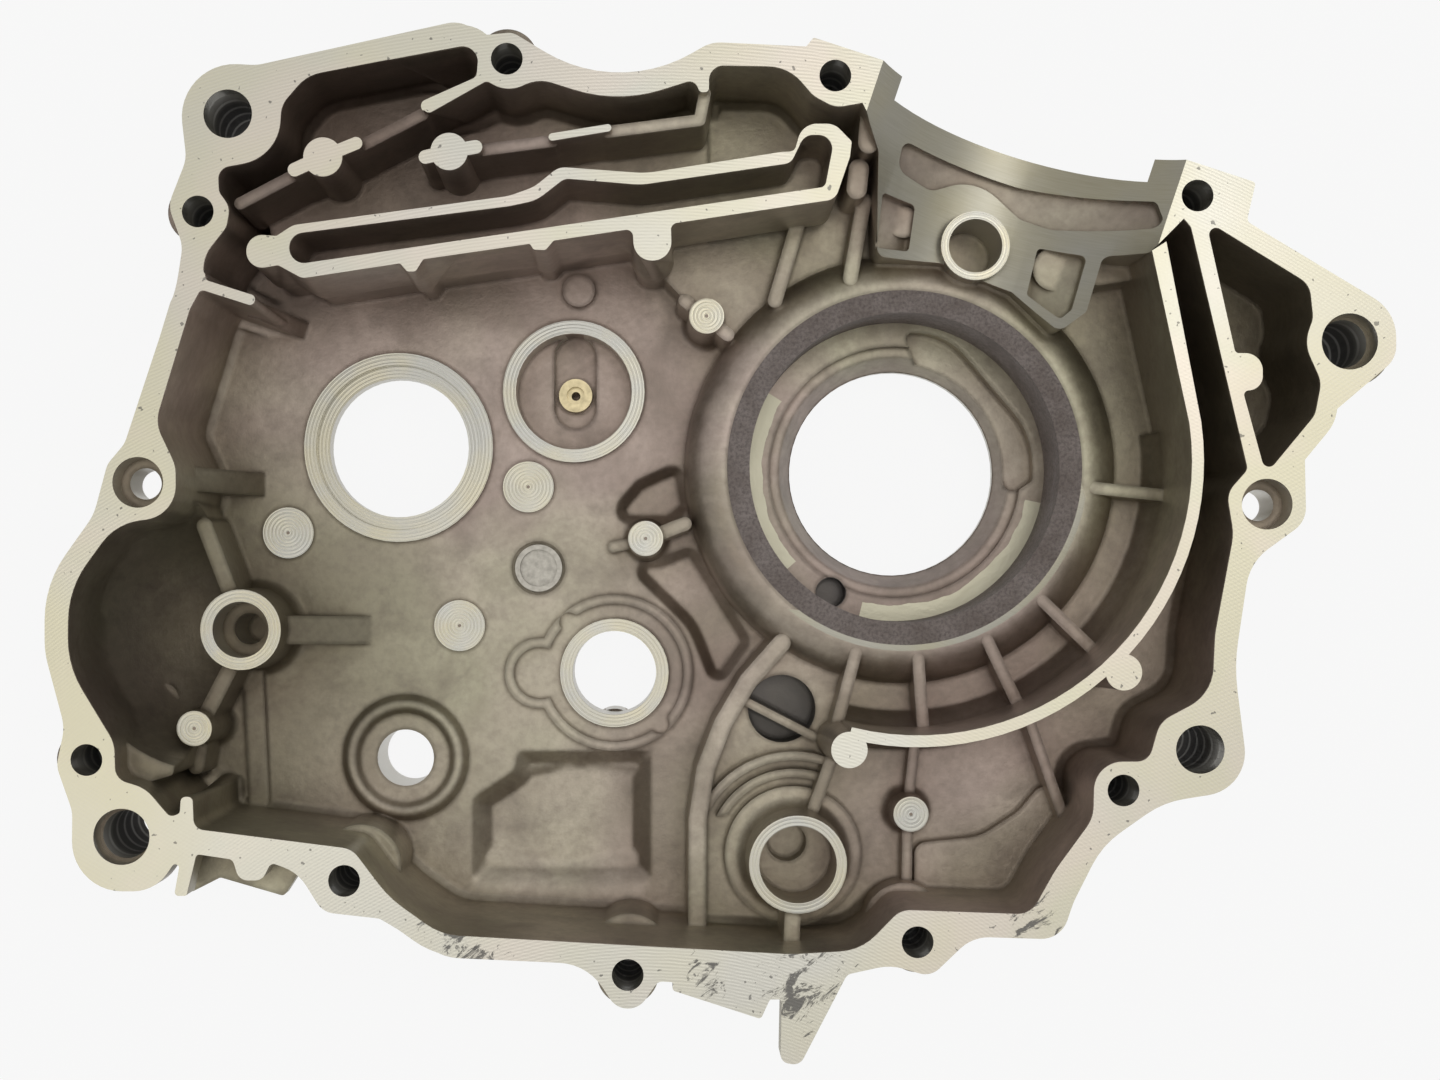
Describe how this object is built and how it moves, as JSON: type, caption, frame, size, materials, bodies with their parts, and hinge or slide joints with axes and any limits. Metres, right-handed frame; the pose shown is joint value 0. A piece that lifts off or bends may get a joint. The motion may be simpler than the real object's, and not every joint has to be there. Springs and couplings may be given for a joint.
{
  "type": "engine crankcase half",
  "caption": "Die-cast left crankcase half of a small single-cylinder engine, with bearing seats, gearbox cavity, breather labyrinth and mating flange.",
  "frame": {"origin": "centre of the main bearing seat at its mouth, where the iron ring's top face is", "axes": "+Z along the crankshaft out of the mating face, +X towards the front of the engine, +Y up towards the cylinder side"},
  "size_m": [0.2974, 0.2292, 0.062],
  "materials": {
    "cast_aluminium": "as-cast, machined on the faces",
    "ring_iron": "rough",
    "jet_brass": "turned",
    "plug_steel": "pressed"
  },
  "bodies": {
    "root": {"case_half": "cast_aluminium", "bearing_ring": "ring_iron", "oil_jet": "jet_brass", "cup_plug": "plug_steel"}
  },
  "joints": []
}
